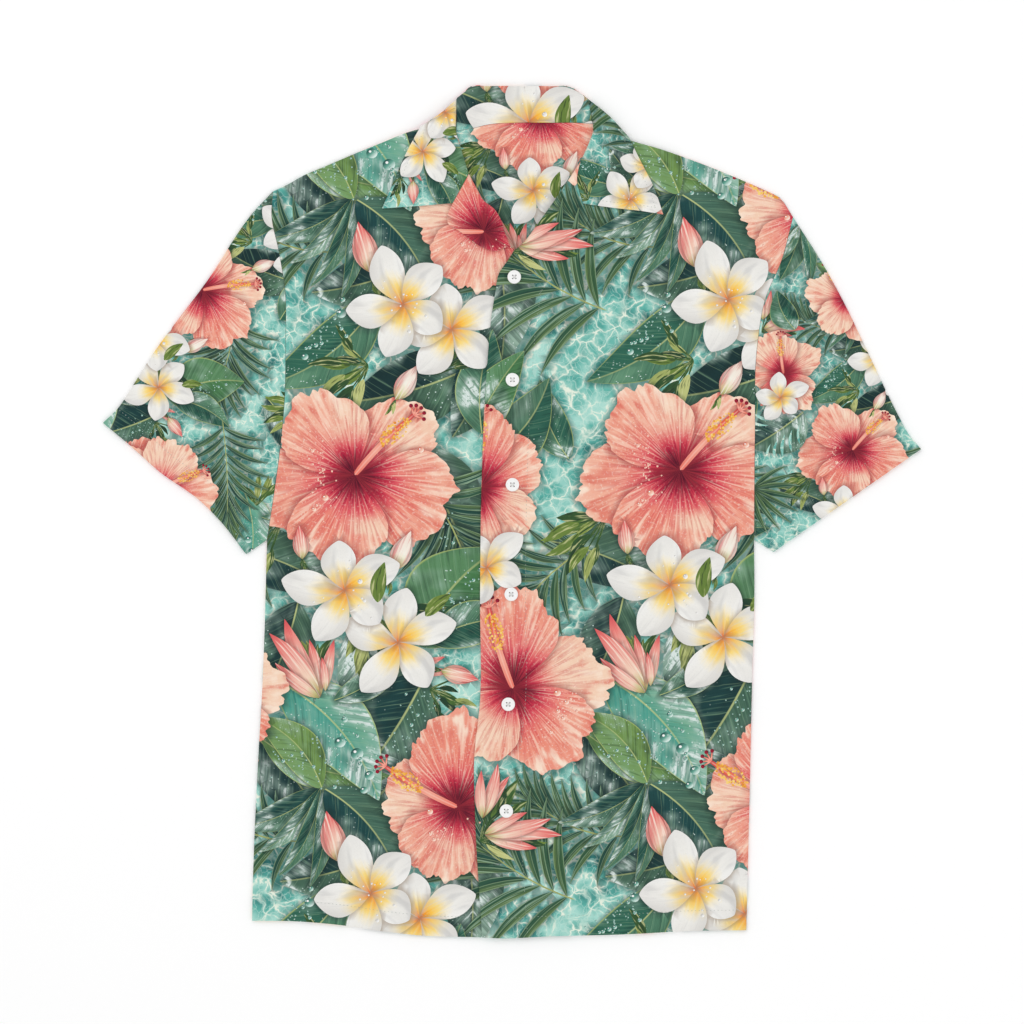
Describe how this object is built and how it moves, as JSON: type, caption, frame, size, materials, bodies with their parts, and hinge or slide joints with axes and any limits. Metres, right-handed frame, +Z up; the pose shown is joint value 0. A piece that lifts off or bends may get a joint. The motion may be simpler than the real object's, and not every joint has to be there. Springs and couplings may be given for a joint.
{
  "type": "hawaiian shirt",
  "caption": "Short-sleeved camp-collar shirt in tropical flower print cloth, buttoned up and lying flat on its back",
  "frame": {"origin": "on the surface the shirt lies on, below the middle of its outline", "axes": "+Y from the hem to the collar, +X from the wearer's right to left, +Z up off the surface, out of the shirt's front"},
  "size_m": [0.7198, 0.7498, 0.0109],
  "materials": {
    "printed_cloth": "matte printed plain weave",
    "button": "polished white"
  },
  "bodies": {
    "root": {"back": "printed_cloth", "right_front": "printed_cloth", "left_front": "printed_cloth", "right_sleeve": "printed_cloth", "left_sleeve": "printed_cloth", "collar": "printed_cloth", "right_facing": "printed_cloth", "left_facing": "printed_cloth", "button_1": "button", "button_2": "button", "button_3": "button", "button_4": "button", "button_5": "button", "button_6": "button"}
  },
  "joints": []
}
